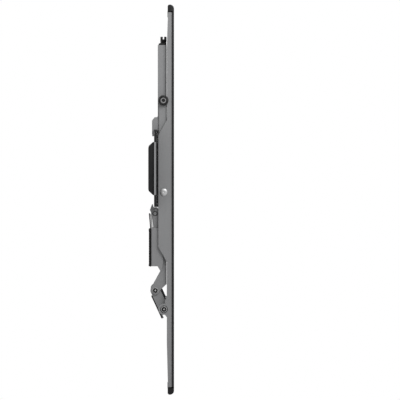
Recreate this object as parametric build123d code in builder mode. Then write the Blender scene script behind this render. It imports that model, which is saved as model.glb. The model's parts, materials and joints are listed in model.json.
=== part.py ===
from build123d import *
import os
from math import hypot

# Full motion wall mount for a flat screen, folded flat. Millimetres.
# +X runs to the right as seen from the room, +Z is up, and the wall is the plane Y = 0 with the
# room on the -Y side. "Depth" below is the distance from the wall, so Y = -depth.
os.makedirs("parts", exist_ok=True)

# ---------------------------------------------------------------- driving dimensions
upright_spacing = 400.0     # between the two uprights: the hole spacing of the screen
screen_holes_up = 400.0     # tallest hole spacing that an upright takes
fewer_holes_up = (300.0, 200.0, 100.0)
screen_middle = -35.0       # height of the middle of the hole pattern
end_margin = 11.0           # steel beyond the outermost slot's middle
running = 0.05              # radial clearance of a pin in a turning hole

# wall plate and its bracket
plate_margin = 58.0         # plate beyond the arm's wall pivot
plate_height = 48.0
plate_thick = 2.5
lag_margin = 32.0           # wall bolts beyond the arm's wall pivot
lag_up = 30.0
lag_slot = 20.0
lag_hole = 9.0
bracket_thick = 2.5
ear_thick = 3.0

# folding arms, which lie one inside the other
arm_depth = 12.5            # depth of the three upright pivot axes
wall_pivot_x = -100.0
elbow_inset = 50.0          # from the elbow to the upright
head_pivot_x = 0.0
inner_height = 18.0
inner_width = 10.0
outer_height = 11.0         # height of each of the two outer bars
outer_width = 11.0
washer_thick = 1.0
hinge_pin = 4.0             # radius of the upright hinge pins
hub_extra = 2.0             # how far a hub stands out beyond its arm's side
tie_thick = 2.0
edge_round = 0.8            # rounded edges of the arms
bend_round = 1.4            # outer bend radius of the folded steel channels

# head crossbar
bar_overhang = 35.0         # crossbar beyond the middle of an upright
bar_half_height = 43.3
bar_back = 6.6
bar_front = 10.0
window_half = 30.0          # half height of the window that the arms fold into
flange_thick = 2.5
flange_back = 3.4
flange_slope = 2.4          # its back edge slopes with the bumper's shoulder
boss_radius = 7.5
elbow_room = 25.0           # from the elbow's axis to the end plates
end_plate_thick = 1.2
bumper_inset = 16.0         # bumper's inner end, inwards of the upright's middle
bumper_back = 0.3
bumper_round = 5.5
bumper_wall = 1.6
bumper_half_height = 29.8

# one upright unit, from its middle outwards
rail_half = 10.0
rail_wall = 1.5
swing_gap = 0.4             # beside the rail, so that the tilt arm turns
arm_wall = 1.8
spacer = 1.3                # between tilt arm and upright
strip_wall = 1.5
liner_wall = 1.0

# depths of one unit
seat_gap = 0.8              # between crossbar and hanger rail
slide_gap = 0.4             # between crossbar and hook
rail_depth = 9.9
strip_gap = 1.5             # between crossbar and the upright's deep middle zone
lip_back = 4.3              # back of the hook's lip
strip_face = 27.6           # front of the steel
liner_face = 29.1           # front of the black liner
liner_lap = 0.85            # the liner's lips over the steel's sides

# heights of one unit
cap_height = 8.5
deep_top = 37.7
deep_foot = -88.3
deep_slope = 16.9
rail_top = 139.0
rail_foot = -94.0

# pivots of the tilting linkage, as (depth, height)
tilt_top = (17.1, 76.7)     # tilt arm on the rail
tilt_mid = (17.7, -26.5)    # upright on the tilt arm
ear_pivot = (17.8, -158.4)  # link on the upright
link_pivot = (8.0, -137.2)  # link on the lower arm
bridge_foot = -15.0         # the tilt arm's front web, between its two side webs
bridge_top = 58.0
tilt_bolt_radius = 3.0
bolt_head_rim = 2.8         # bolt head beyond the bolt
bolt_clear = 0.25           # from the tilt bolt's spacers to the upright's back edge
rivet_radius = 3.0
link_bolt_radius = 1.7
open_pivot_play = 1.4       # the linkage's open pivot, at the upright's ear

# catch that holds the unit on the crossbar
catch_pivot = (7.65, -50.6)
catch_pin = 2.0
catch_half = 9.0            # half width of the catch

# screw that presses the brake shoe on the tilt bolt
screw_depth = 17.2
screw_radius = 1.9
knob_radius = 3.6
slot_radius = 3.3           # half the width of the screen's bolt slots
slot_length = 12.0

# ---------------------------------------------------------------- worked out from those
elbow_x = upright_spacing / 2 - elbow_inset
bar_width = upright_spacing + 2 * bar_overhang
end_plate_inner = elbow_x + elbow_room
bumper_inner = upright_spacing / 2 - bumper_inset
plate_width = 2 * (plate_margin - wall_pivot_x)
lag_across = 2 * (lag_margin - wall_pivot_x)
hole_spacings = (screen_holes_up,) + fewer_holes_up
strip_top = screen_middle + screen_holes_up / 2 + end_margin
strip_foot = screen_middle - screen_holes_up / 2 - end_margin
rail_back = bar_front + seat_gap
rail_front = rail_back + rail_depth
strip_seat = bar_front + strip_gap
spacer_radius = tilt_bolt_radius + 0.8
strip_back = tilt_top[0] + spacer_radius + bolt_clear      # back edge of the upright's shallow ends
inner_half = inner_height / 2
outer_low = inner_half + washer_thick
outer_top = outer_low + outer_height
head_boss_top = window_half - 0.5 - flange_thick
arm_in = rail_half + swing_gap
arm_out = arm_in + arm_wall
strip_in = arm_out + spacer
strip_out = strip_in + strip_wall
liner_out = strip_out + liner_wall
bridge_back = rail_front + 0.5
bridge_front = bridge_back + arm_wall
web_back = strip_face - strip_wall


def side(x):
    """Plane at width x whose local axes are depth from the wall and height."""
    return Plane((x, 0, 0), x_dir=(0, -1, 0), z_dir=(-1, 0, 0))


def slab(outline, x_low, x_high, mode=Mode.ADD):
    """Plate with an outline of (depth, height) points, from x_low to x_high."""
    with BuildSketch(side(x_high)) as face:
        Polygon(*outline, align=None)
    extrude(face.sketch, amount=x_high - x_low, mode=mode)


def rod(centre, radius, x_low, x_high, mode=Mode.ADD):
    """Round bar across the width, at a (depth, height) centre."""
    with BuildSketch(side(x_high)) as face:
        with Locations(centre):
            Circle(radius)
    extrude(face.sketch, amount=x_high - x_low, mode=mode)


def post(x, depth, radius, z_low, z_high, mode=Mode.ADD):
    """Upright round bar."""
    with BuildSketch(Plane.XY.offset(z_low)) as face:
        with Locations((x, -depth)):
            Circle(radius)
    extrude(face.sketch, amount=z_high - z_low, mode=mode)


def block(x_low, x_high, near, far, z_low, z_high, mode=Mode.ADD):
    """Square block between two widths, two depths and two heights."""
    slab([(near, z_low), (far, z_low), (far, z_high), (near, z_high)], x_low, x_high, mode)


def save(piece, name):
    """Label one sub-part and write its STEP file."""
    piece.part.label = name
    export_step(piece.part, f"parts/{name}.step")


# ---------------------------------------------------------------- wall side
with BuildPart() as wall_plate:
    with BuildSketch(Plane.XZ):
        RectangleRounded(plate_width, plate_height, 6)
        with GridLocations(lag_across, lag_up, 2, 2):
            SlotOverall(lag_slot, lag_hole, mode=Mode.SUBTRACT)
    extrude(amount=plate_thick)
save(wall_plate, "wall_plate")

ear_low = inner_half + washer_thick
ear_top = ear_low + ear_thick
ear_radius = inner_width / 2 + hub_extra + 1
with BuildPart() as wall_bracket:
    block(wall_pivot_x - 15, wall_pivot_x + 15, plate_thick, plate_thick + bracket_thick, -ear_top, ear_top)
    for low in (ear_low, -ear_top):
        with BuildSketch(Plane.XY.offset(low)) as ear:
            with Locations((wall_pivot_x, -arm_depth)):
                Circle(ear_radius)
            with Locations((wall_pivot_x, -(plate_thick + arm_depth) / 2)):
                Rectangle(2 * ear_radius, arm_depth - plate_thick)
        extrude(ear.sketch, amount=ear_thick)
    post(wall_pivot_x, arm_depth, hinge_pin, -ear_top, ear_top, Mode.SUBTRACT)
save(wall_bracket, "wall_bracket")

with BuildPart() as wall_pivot_pin:
    post(wall_pivot_x, arm_depth, hinge_pin, -ear_top, ear_top)
    post(wall_pivot_x, arm_depth, hinge_pin + 2, ear_top, ear_top + 2.5)
    post(wall_pivot_x, arm_depth, hinge_pin + 2, -ear_top - 2.5, -ear_top)
    fillet(wall_pivot_pin.edges().filter_by(GeomType.CIRCLE).group_by(Axis.Z)[-1], 1)
    fillet(wall_pivot_pin.edges().filter_by(GeomType.CIRCLE).group_by(Axis.Z)[0], 1)
save(wall_pivot_pin, "wall_pivot_pin")

with BuildPart() as wall_washers:
    for low in (inner_half + running, -inner_half - washer_thick):
        post(wall_pivot_x, arm_depth, inner_width / 2 + hub_extra, low, low + washer_thick - running)
        post(wall_pivot_x, arm_depth, hinge_pin, low, low + washer_thick, Mode.SUBTRACT)
save(wall_washers, "wall_washers")

# ---------------------------------------------------------------- folding arms
with BuildPart() as inner_arm:
    with BuildSketch(Plane.XY):
        with Locations(((wall_pivot_x + elbow_x) / 2, -arm_depth)):
            Rectangle(elbow_x - wall_pivot_x, inner_width)
        with Locations((wall_pivot_x, -arm_depth), (elbow_x, -arm_depth)):
            Circle(inner_width / 2 + hub_extra)
    extrude(amount=inner_half, both=True)
    fillet(inner_arm.faces().filter_by(Axis.Z).edges(), edge_round)
    with BuildSketch(Plane.XZ.offset(arm_depth + inner_width / 2)):
        with Locations(((wall_pivot_x + elbow_x) / 2, 0)):
            SlotOverall(elbow_x - wall_pivot_x - 50, inner_height - 7)
    extrude(amount=-1.5, mode=Mode.SUBTRACT)
    post(wall_pivot_x, arm_depth, hinge_pin + running, -inner_half, inner_half, Mode.SUBTRACT)
    post(elbow_x, arm_depth, hinge_pin, -inner_half, inner_half, Mode.SUBTRACT)
save(inner_arm, "inner_arm")

with BuildPart() as elbow_pin:
    post(elbow_x, arm_depth, hinge_pin, -outer_top - 0.2, outer_top + 0.2)
    post(elbow_x, arm_depth, hinge_pin + 2.5, outer_top + 0.2, outer_top + 3)
    post(elbow_x, arm_depth, hinge_pin + 2.5, -outer_top - 3, -outer_top - 0.2)
    fillet(elbow_pin.edges().filter_by(GeomType.CIRCLE).group_by(Axis.Z)[-1], 1)
    fillet(elbow_pin.edges().filter_by(GeomType.CIRCLE).group_by(Axis.Z)[0], 1)
save(elbow_pin, "elbow_pin")

with BuildPart() as elbow_washers:
    for low in (inner_half, -outer_low + running):
        post(elbow_x, arm_depth, inner_width / 2 + hub_extra, low, low + washer_thick - running)
        post(elbow_x, arm_depth, hinge_pin, low, low + washer_thick, Mode.SUBTRACT)
save(elbow_washers, "elbow_washers")

for name, low in (("outer_arm_upper", outer_low), ("outer_arm_lower", -outer_top)):
    with BuildPart() as outer_bar:
        with BuildSketch(Plane.XY.offset(low)):
            with Locations(((head_pivot_x + elbow_x) / 2, -arm_depth)):
                Rectangle(elbow_x - head_pivot_x, outer_width)
            with Locations((head_pivot_x, -arm_depth), (elbow_x, -arm_depth)):
                Circle(outer_width / 2 + hub_extra)
        extrude(amount=outer_height)
        fillet(outer_bar.faces().filter_by(Axis.Z).edges(), edge_round)
        for x in (head_pivot_x, elbow_x):
            post(x, arm_depth, hinge_pin + running, low, low + outer_height, Mode.SUBTRACT)
        with BuildSketch(Plane.XZ.offset(arm_depth + outer_width / 2)):
            middle_height = low + outer_height / 2
            with Locations((head_pivot_x + 30, middle_height), (elbow_x - 30, middle_height)):
                SlotOverall(30, outer_height - 6)
        extrude(amount=-1.2, mode=Mode.SUBTRACT)
    save(outer_bar, name)

tie_front = arm_depth + outer_width / 2
with BuildPart() as arm_tie:
    with BuildSketch(Plane.XZ.offset(tie_front)):
        with Locations(((head_pivot_x + elbow_x) / 2, 0)):
            RectangleRounded(44, 2 * outer_top - 2, 3)
            with GridLocations(30, outer_low + outer_top, 2, 2):
                Circle(1.6, mode=Mode.SUBTRACT)
    extrude(amount=tie_thick)
save(arm_tie, "arm_tie")

with BuildPart() as head_washers:
    for low in (outer_top, -outer_top - washer_thick + running):
        post(head_pivot_x, arm_depth, outer_width / 2 + hub_extra, low, low + washer_thick - running)
        post(head_pivot_x, arm_depth, hinge_pin + running, low, low + washer_thick, Mode.SUBTRACT)
save(head_washers, "head_washers")

# ---------------------------------------------------------------- head crossbar
# Each rail is an angle: an upright face, and a flange over the window that carries a pivot boss.
rail_reach = end_plate_inner - 7
for name, up in (("head_rail_top", 1), ("head_rail_bottom", -1)):
    with BuildPart() as head_rail:
        half = bar_width / 2
        low, high = sorted((up * window_half, up * bar_half_height))
        block(-half, half, bar_back, bar_front, low, high)
        low, high = sorted((up * head_boss_top, up * window_half))
        block(-rail_reach, rail_reach, bar_back, bar_front, low, high)
        flange_foot, flange_top = up * head_boss_top, up * (head_boss_top + flange_thick)
        slab([(flange_back, flange_foot), (bar_back, flange_foot), (bar_back, flange_top),
              (flange_back + flange_slope, flange_top)], -rail_reach, rail_reach)
        low, high = sorted((flange_foot, flange_top))
        block(head_pivot_x - boss_radius, head_pivot_x + boss_radius, bar_front, arm_depth, low, high)
        post(head_pivot_x, arm_depth, boss_radius, low, high)
        boss_low, boss_high = sorted((up * (outer_top + washer_thick), up * head_boss_top))
        post(head_pivot_x, arm_depth, boss_radius, boss_low, boss_high)
        post(head_pivot_x, arm_depth, hinge_pin, min(low, boss_low), max(high, boss_high), Mode.SUBTRACT)
        with BuildSketch(Plane.XZ.offset(bar_back)):
            with Locations((0, up * (window_half + bar_half_height) / 2)):
                with GridLocations(50, 1, 7, 1):
                    SlotOverall(26, 5)
        extrude(amount=bar_front - bar_back, mode=Mode.SUBTRACT)
    save(head_rail, name)

with BuildPart() as end_plates:
    for x_low, x_high in ((-bar_width / 2, -end_plate_inner), (end_plate_inner, bar_width / 2)):
        block(x_low, x_high, bar_front - end_plate_thick, bar_front, -window_half, window_half)
save(end_plates, "end_plates")

bumper_front = bar_back - 0.1
with BuildPart() as doubler_plates:
    for x_low, x_high in ((-bar_width / 2, -bumper_inner), (bumper_inner, bar_width / 2)):
        block(x_low, x_high, bumper_front, bar_front - end_plate_thick,
              -bumper_half_height, bumper_half_height)
save(doubler_plates, "doubler_plates")

with BuildPart() as end_bumpers:
    for x_low, x_high in ((-bar_width / 2, -bumper_inner), (bumper_inner, bar_width / 2)):
        block(x_low, x_high, bumper_back, bumper_front, -bumper_half_height, bumper_half_height)
    back = end_bumpers.edges().filter_by(Axis.X).group_by(Axis.Y)[-1]
    fillet(back, bumper_round)
    for x_low, x_high in ((-bar_width / 2, -bumper_inner), (bumper_inner, bar_width / 2)):
        block(x_low + bumper_wall, x_high - bumper_wall, bumper_back + bumper_wall, bumper_front,
              -bumper_half_height + bumper_round, bumper_half_height - bumper_round, Mode.SUBTRACT)
save(end_bumpers, "end_bumpers")

with BuildPart() as head_pins:
    pin_top = head_boss_top + flange_thick
    for low, high in ((outer_low + 0.2, pin_top), (-pin_top, -outer_low - 0.2)):
        post(head_pivot_x, arm_depth, hinge_pin, low, high)
save(head_pins, "head_pins")

# ---------------------------------------------------------------- the two upright units
link_run = (ear_pivot[0] - link_pivot[0], ear_pivot[1] - link_pivot[1])
link_length = hypot(*link_run)
link_half = 5.5
guard_thick = 1.4


def on_link(along, across):
    """Point on the link: along it from its lower arm pivot, and across it towards the room."""
    unit_d, unit_z = link_run[0] / link_length, link_run[1] / link_length
    return (link_pivot[0] + along * unit_d - across * unit_z,
            link_pivot[1] + along * unit_z + across * unit_d)


for hand, middle in (("left", -upright_spacing / 2), ("right", upright_spacing / 2)):
    # hanger: everything that hangs on the crossbar and does not tilt
    with BuildPart() as hanger_rail:
        block(middle - rail_half, middle + rail_half, rail_back, rail_front, -44, rail_top)
        block(middle - rail_half, middle + rail_half, rail_back + 2.2, rail_front, rail_foot, -44)
        fillet(hanger_rail.edges().filter_by(Axis.Z).group_by(Axis.Y)[0], bend_round)
        inner = rail_half - rail_wall
        block(middle - inner, middle + inner, 0, rail_front - rail_wall, rail_foot, rail_top, Mode.SUBTRACT)
        rod(tilt_top, tilt_bolt_radius, middle - rail_half, middle + rail_half, Mode.SUBTRACT)
    save(hanger_rail, f"{hand}_hanger_rail")

    with BuildPart() as channel_cap:
        block(middle - rail_half + 0.3, middle + rail_half - 0.3, rail_back + 0.8, rail_front - 0.1,
              rail_top, rail_top + 2.2)
        fillet(channel_cap.edges().filter_by(Axis.X).group_by(Axis.Z)[-1].sort_by(Axis.Y)[-1], 1.8)
        block(middle - inner + 0.2, middle + inner - 0.2, rail_back + 1, rail_front - rail_wall - 0.2,
              rail_top - 5, rail_top)
        post(middle, screw_depth, screw_radius + 0.2, rail_top - 5, rail_top + 3, Mode.SUBTRACT)
    save(channel_cap, f"{hand}_channel_cap")

    shoe_low = tilt_top[1] + tilt_bolt_radius + 0.1
    with BuildPart() as brake_shoe:
        block(middle - inner + 0.2, middle + inner - 0.2, rail_back + 0.8, rail_front - rail_wall - 0.1,
              shoe_low, shoe_low + 10)
        post(middle, screw_depth, screw_radius + running, shoe_low + 4, shoe_low + 10, Mode.SUBTRACT)
    save(brake_shoe, f"{hand}_brake_shoe")

    with BuildPart() as tension_screw:
        knob_low = rail_top + 4
        post(middle, screw_depth, screw_radius, shoe_low + 4.2, knob_low)
        post(middle, screw_depth, screw_radius + 0.8, rail_top + 2.4, knob_low)
        post(middle, screw_depth, knob_radius, knob_low, knob_low + 5.5)
        fillet(tension_screw.edges().filter_by(GeomType.CIRCLE).group_by(Axis.Z)[-1], 0.8)
        block(middle - knob_radius, middle + knob_radius, screw_depth - 0.7, screw_depth + 0.7,
              knob_low + 2.5, knob_low + 6, Mode.SUBTRACT)
    save(tension_screw, f"{hand}_tension_screw")

    with BuildPart() as hook:
        lip_foot = bar_half_height - 5
        hook_seat = bar_half_height + 0.3
        lip_front = bar_back - slide_gap
        slab([(lip_back, lip_foot), (lip_front, lip_foot), (lip_front, hook_seat), (rail_back, hook_seat),
              (rail_back, hook_seat + 14.3), (lip_back + 3, hook_seat + 14.3), (lip_back, hook_seat + 10.5)],
             middle - rail_half, middle + rail_half)
        tenon = inner - 0.1
        block(middle - tenon, middle + tenon, rail_back, rail_back + 4, hook_seat + 2, hook_seat + 12)
    save(hook, f"{hand}_hook")

    bolt_head = strip_out + 0.3
    with BuildPart() as tilt_bolt:
        rod(tilt_top, tilt_bolt_radius, middle - bolt_head, middle + bolt_head)
        for x_low, x_high in ((-bolt_head, -arm_out - 0.1), (arm_out + 0.1, bolt_head)):
            rod(tilt_top, spacer_radius, middle + x_low, middle + x_high)
        for x_low, x_high in ((-bolt_head - 2.7, -bolt_head), (bolt_head, bolt_head + 2.7)):
            rod(tilt_top, tilt_bolt_radius + bolt_head_rim, middle + x_low, middle + x_high)
        for x_low, x_high in ((-bolt_head - 2.7, -bolt_head - 0.9), (bolt_head + 0.9, bolt_head + 2.7)):
            with BuildSketch(side(middle + x_high)) as socket:
                with Locations(tilt_top):
                    RegularPolygon(3.4, 6)
            extrude(socket.sketch, amount=x_high - x_low, mode=Mode.SUBTRACT)
    save(tilt_bolt, f"{hand}_tilt_bolt")

    housing_half = rail_half + 2
    with BuildPart() as lower_housing:
        slab([(3.2, -67), (12.5, -67), (17.3, -105), (14.4, -116.4), (10.5, -110), (3.2, -110)],
             middle - housing_half, middle + housing_half)
        fillet(lower_housing.edges().filter_by(Axis.Z).group_by(Axis.Y)[-1], bend_round)
        block(middle - rail_half, middle + rail_half, 4.8, 20, -120, -60, Mode.SUBTRACT)
    save(lower_housing, f"{hand}_lower_housing")

    with BuildPart() as wall_pad:
        slab([(0.9, -67.5), (3.2, -67.5), (3.2, -110.5), (0.9, -110.5), (0.5, -109), (0.9, -107.5),
              (0.9, -70.5), (0.5, -69)], middle - housing_half, middle + housing_half)
        slab([(0.7, -50.5), (1.6, -50.5), (3.1, -67.6), (2.2, -67.6)], middle - 7, middle + 7)
    save(wall_pad, f"{hand}_wall_pad")

    with BuildPart() as lower_arm:
        with BuildSketch(side(middle + rail_half)) as cheek:
            Polygon((13, rail_foot), (rail_front, rail_foot), (rail_front, -130), (14.6, -135.8),
                    (10.5, -141), (4.6, -139.8), (3.9, -135), (14.2, -116.2), (13, -112), align=None)
            with Locations(link_pivot):
                Circle(4.6)
        extrude(cheek.sketch, amount=2 * rail_half)
        block(middle - inner, middle + inner, 0, rail_front - rail_wall, -150, rail_foot, Mode.SUBTRACT)
        rod(link_pivot, link_bolt_radius, middle - rail_half, middle + rail_half, Mode.SUBTRACT)
    save(lower_arm, f"{hand}_lower_arm")

    with BuildPart() as link_bolt:
        rod(link_pivot, link_bolt_radius, middle - rail_half, middle + rail_half)
        for x_low, x_high in ((-rail_half - 1.6, -rail_half), (rail_half, rail_half + 1.6)):
            rod(link_pivot, link_bolt_radius + 0.9, middle + x_low, middle + x_high)
    save(link_bolt, f"{hand}_link_bolt")

    with BuildPart() as latch_bracket:
        block(middle - catch_half + 3, middle + catch_half - 3, 5.4, rail_front - rail_wall, -56, -46)
        rod(catch_pivot, catch_pin, middle - catch_half - 0.4, middle + catch_half + 0.4)
    save(latch_bracket, f"{hand}_latch_bracket")

    with BuildPart() as latch_spring:
        slab([(2.2, -51), (3.3, -51), (4.8, -67), (3.7, -67)], middle - 6, middle + 6)
    save(latch_spring, f"{hand}_latch_spring")

    with BuildPart() as latch_lever:
        slab([(4.5, -39.8), (6.0, -43.8), (10.2, -43.9), (10.2, -56), (8.6, -66.4), (5.7, -66.4),
              (3.7, -51.2), (1.9, -46.5)], middle - catch_half, middle + catch_half)
        block(middle - catch_half + 2, middle + catch_half - 2, 0, 15, -62, -35, Mode.SUBTRACT)
        rod(catch_pivot, catch_pin + running, middle - catch_half, middle + catch_half, Mode.SUBTRACT)
    save(latch_lever, f"{hand}_latch_lever")

    # tilting linkage
    with BuildPart() as tilt_arm:
        with BuildSketch(side(middle + arm_out)) as web:
            Polygon((12.2, tilt_mid[1]), (20.9, tilt_mid[1]), (20.9, bridge_foot),
                    (bridge_front, bridge_foot), (bridge_front, bridge_top), (20.9, bridge_top),
                    (20.9, tilt_top[1]), (12.2, tilt_top[1]), align=None)
            with Locations(tilt_top):
                Circle(6)
            with Locations(tilt_mid):
                Circle(5.5)
        extrude(web.sketch, amount=2 * arm_out)
        fillet(tilt_arm.edges().filter_by(Axis.Z).group_by(Axis.Y)[0], bend_round)
        block(middle - arm_in, middle + arm_in, 0, bridge_back, -60, 100, Mode.SUBTRACT)
        block(middle - arm_in, middle + arm_in, 0, 30, -60, bridge_foot, Mode.SUBTRACT)
        block(middle - arm_in, middle + arm_in, 0, 30, bridge_top, 100, Mode.SUBTRACT)
        rod(tilt_top, tilt_bolt_radius + running, middle - arm_out, middle + arm_out, Mode.SUBTRACT)
        rod(tilt_mid, rivet_radius, middle - arm_out, middle + arm_out, Mode.SUBTRACT)
    save(tilt_arm, f"{hand}_tilt_arm")

    with BuildPart() as pivot_rivets:
        for out in (-1, 1):
            low, high = sorted((middle + out * arm_in, middle + out * (strip_out + 0.1)))
            rod(tilt_mid, rivet_radius, low, high)
            low, high = sorted((middle + out * arm_out, middle + out * (strip_in - 0.1)))
            rod(tilt_mid, 5, low, high)
            low, high = sorted((middle + out * (strip_out + 0.1), middle + out * (strip_out + 1.7)))
            rod(tilt_mid, 4.2, low, high)
    save(pivot_rivets, f"{hand}_pivot_rivets")

    with BuildPart() as strip:
        with BuildSketch(side(middle + strip_out)) as web:
            Polygon((22.3, strip_top), (strip_back, strip_top - 36), (strip_back, deep_top + deep_slope),
                    (strip_seat, deep_top), (strip_seat, deep_foot), (strip_back, deep_foot - deep_slope),
                    (strip_back, strip_foot + 46), (22.3, strip_foot), (strip_face, strip_foot),
                    (strip_face, strip_top), align=None)
            with Locations(ear_pivot):
                Circle(6.3)
            Polygon((19, -147.5), (25, -143), (25, -172), (19, -165), align=None)
        extrude(web.sketch, amount=2 * strip_out)
        fillet(strip.edges().filter_by(Axis.Z).group_by(Axis.Y)[0], bend_round)
        block(middle - strip_in, middle + strip_in, 0, web_back, strip_foot, strip_top, Mode.SUBTRACT)
        rod(tilt_mid, rivet_radius + running, middle - strip_out, middle + strip_out, Mode.SUBTRACT)
        rod(ear_pivot, link_bolt_radius, middle - strip_out, middle + strip_out, Mode.SUBTRACT)
        with BuildSketch(Plane.XZ.offset(web_back)) as slots:
            for spacing in hole_spacings:
                with Locations((middle, screen_middle - spacing / 2), (middle, screen_middle + spacing / 2)):
                    SlotOverall(slot_length, 2 * slot_radius, rotation=90)
        extrude(slots.sketch, amount=strip_wall, mode=Mode.SUBTRACT)
    save(strip, f"{hand}_strip")

    with BuildPart() as strip_liner:
        block(middle - liner_out, middle + liner_out, strip_face - liner_lap, liner_face,
              strip_foot, strip_top)
        front = strip_liner.edges().filter_by(Axis.Z).group_by(Axis.Y)[0]
        fillet(front, 1.2)
        block(middle - strip_out, middle + strip_out, 0, strip_face, strip_foot, strip_top, Mode.SUBTRACT)
        with BuildSketch(Plane.XZ.offset(strip_face)) as slots:
            for spacing in hole_spacings:
                with Locations((middle, screen_middle - spacing / 2), (middle, screen_middle + spacing / 2)):
                    SlotOverall(slot_length, 2 * slot_radius, rotation=90)
        extrude(slots.sketch, amount=liner_face - strip_face, mode=Mode.SUBTRACT)
    save(strip_liner, f"{hand}_strip_liner")

    with BuildPart() as strip_caps:
        block(middle - liner_out, middle + liner_out, 21.9, liner_face, strip_top, strip_top + cap_height)
        block(middle - liner_out, middle + liner_out, 21.9, liner_face, strip_foot - cap_height, strip_foot)
        ends = strip_caps.edges().filter_by(Axis.X).group_by(Axis.Z)
        for row in (ends[-1], ends[0]):
            fillet(row.sort_by(Axis.Y)[0], 4.5)
        for row in (strip_caps.edges().filter_by(Axis.X).group_by(Axis.Z)[-1],
                    strip_caps.edges().filter_by(Axis.X).group_by(Axis.Z)[0]):
            fillet(row.sort_by(Axis.Y)[-1], 2)
        for low, high in ((strip_top - 4.5, strip_top), (strip_foot, strip_foot + 4.5)):
            block(middle - strip_in + 0.1, middle + strip_in - 0.1, 22.6, web_back - 0.1, low, high)
    save(strip_caps, f"{hand}_strip_caps")

    link_out = inner - 0.5
    link_in = link_out - 1.5
    with BuildPart() as ear_bolt:
        rod(ear_pivot, link_bolt_radius, middle - strip_out, middle + strip_out)
        for out in (-1, 1):
            low, high = sorted((middle + out * (link_out + 0.4), middle + out * strip_in))
            rod(ear_pivot, link_bolt_radius + 1.4, low, high)
            low, high = sorted((middle + out * strip_out, middle + out * (strip_out + 1.6)))
            rod(ear_pivot, link_bolt_radius + 1.4, low, high)
    save(ear_bolt, f"{hand}_ear_bolt")

    tail = link_length + 8.5
    with BuildPart() as lower_link:
        with BuildSketch(side(middle + link_out)) as plate:
            Polygon(on_link(0, link_half), on_link(link_length, link_half), on_link(link_length, -link_half),
                    on_link(0, -link_half), align=None)
            with Locations(link_pivot, ear_pivot):
                Circle(link_half)
            Polygon(on_link(3.5, -link_half), on_link(3.5, -link_half + 1.2), on_link(tail, -link_half + 1.2),
                    on_link(tail, -link_half), align=None)
        extrude(plate.sketch, amount=2 * link_out)
        web_top = -link_half + 1.2
        slab([on_link(-10, web_top), on_link(-10, 10), on_link(40, 10), on_link(40, web_top)],
             middle - link_in, middle + link_in, Mode.SUBTRACT)
        slab([on_link(-10, web_top), on_link(3, web_top), on_link(3, -10), on_link(-10, -10)],
             middle - link_in, middle + link_in, Mode.SUBTRACT)
        rod(link_pivot, link_bolt_radius + running, middle - link_out, middle + link_out, Mode.SUBTRACT)
        play_hole = link_bolt_radius + open_pivot_play
        rod(ear_pivot, play_hole, middle - link_out, middle + link_out, Mode.SUBTRACT)
    save(lower_link, f"{hand}_lower_link")

    with BuildPart() as link_guards:
        guard_out = link_half + guard_thick
        slab([on_link(3.5, -link_half), on_link(tail, -link_half), on_link(tail, -guard_out),
              on_link(3.5, -guard_out)], middle - link_out, middle + link_out)
        slab([on_link(1.2, link_half), on_link(14.5, link_half), on_link(14.5, guard_out),
              on_link(1.2, guard_out)], middle - link_out, middle + link_out)
    save(link_guards, f"{hand}_link_guards")
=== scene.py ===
# %% [markdown]
# # A full motion wall mount for a flat screen
# The mount is folded steel: a wall plate, a folding arm, a crossbar head, and two uprights that
# carry the screen on tilting linkages. The CAD model already says where every piece is and how it
# moves. This lesson gives each piece its finish, and rebuilds the small turned, moulded and welded
# pieces as surfaces that are worked out with numpy.

# %% Load the fixed frame
import json
import math

import bmesh
import bpy
import numpy as np
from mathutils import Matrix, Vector


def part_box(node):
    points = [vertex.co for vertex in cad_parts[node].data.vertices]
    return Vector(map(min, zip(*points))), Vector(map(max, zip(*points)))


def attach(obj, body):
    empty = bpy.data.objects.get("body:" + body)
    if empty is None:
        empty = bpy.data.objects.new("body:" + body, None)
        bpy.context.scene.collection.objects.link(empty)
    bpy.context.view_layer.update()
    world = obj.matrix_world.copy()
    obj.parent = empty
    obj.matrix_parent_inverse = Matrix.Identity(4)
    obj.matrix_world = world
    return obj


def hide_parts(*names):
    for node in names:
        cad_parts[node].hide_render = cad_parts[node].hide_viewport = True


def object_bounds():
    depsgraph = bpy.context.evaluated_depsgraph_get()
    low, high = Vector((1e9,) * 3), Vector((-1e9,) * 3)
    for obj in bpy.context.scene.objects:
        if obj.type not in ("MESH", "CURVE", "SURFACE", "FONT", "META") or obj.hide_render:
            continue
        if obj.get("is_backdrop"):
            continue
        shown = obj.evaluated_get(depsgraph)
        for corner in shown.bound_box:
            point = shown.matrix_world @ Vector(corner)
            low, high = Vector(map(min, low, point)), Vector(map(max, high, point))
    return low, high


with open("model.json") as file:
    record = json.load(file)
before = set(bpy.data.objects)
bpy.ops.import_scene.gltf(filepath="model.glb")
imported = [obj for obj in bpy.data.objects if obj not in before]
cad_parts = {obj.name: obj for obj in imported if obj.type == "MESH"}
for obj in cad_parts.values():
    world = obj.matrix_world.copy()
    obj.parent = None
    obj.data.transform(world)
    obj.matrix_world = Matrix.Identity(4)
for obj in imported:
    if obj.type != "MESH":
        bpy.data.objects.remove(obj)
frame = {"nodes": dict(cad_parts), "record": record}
cad_low, cad_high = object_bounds()
MM = 0.001
HANDS = ("left", "right")
print("CAD box in mm", [round(v / MM, 1) for v in (*cad_low, *cad_high)])


# %% [markdown]
# ## The camera
# A side view of something this thin only reads well when near and far parts line up, so the camera
# stands far to the left of the mount with a very long lens. An orthographic camera would do the
# same. It stands in line with the mount, so that the far upright hides behind the near one, and
# turns a little towards the room.

# %% Place the camera
VIEW_WIDTH = 450 * MM
CAMERA_DISTANCE = 15.0
SENSOR = 36.0
FAR_CLIP = 200
FRAME_MIDDLE = (-58.3 * MM, -35.4 * MM)
near_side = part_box("left_strip_liner")[0][0]
mid_depth = (cad_low[1] + cad_high[1]) / 2

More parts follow.
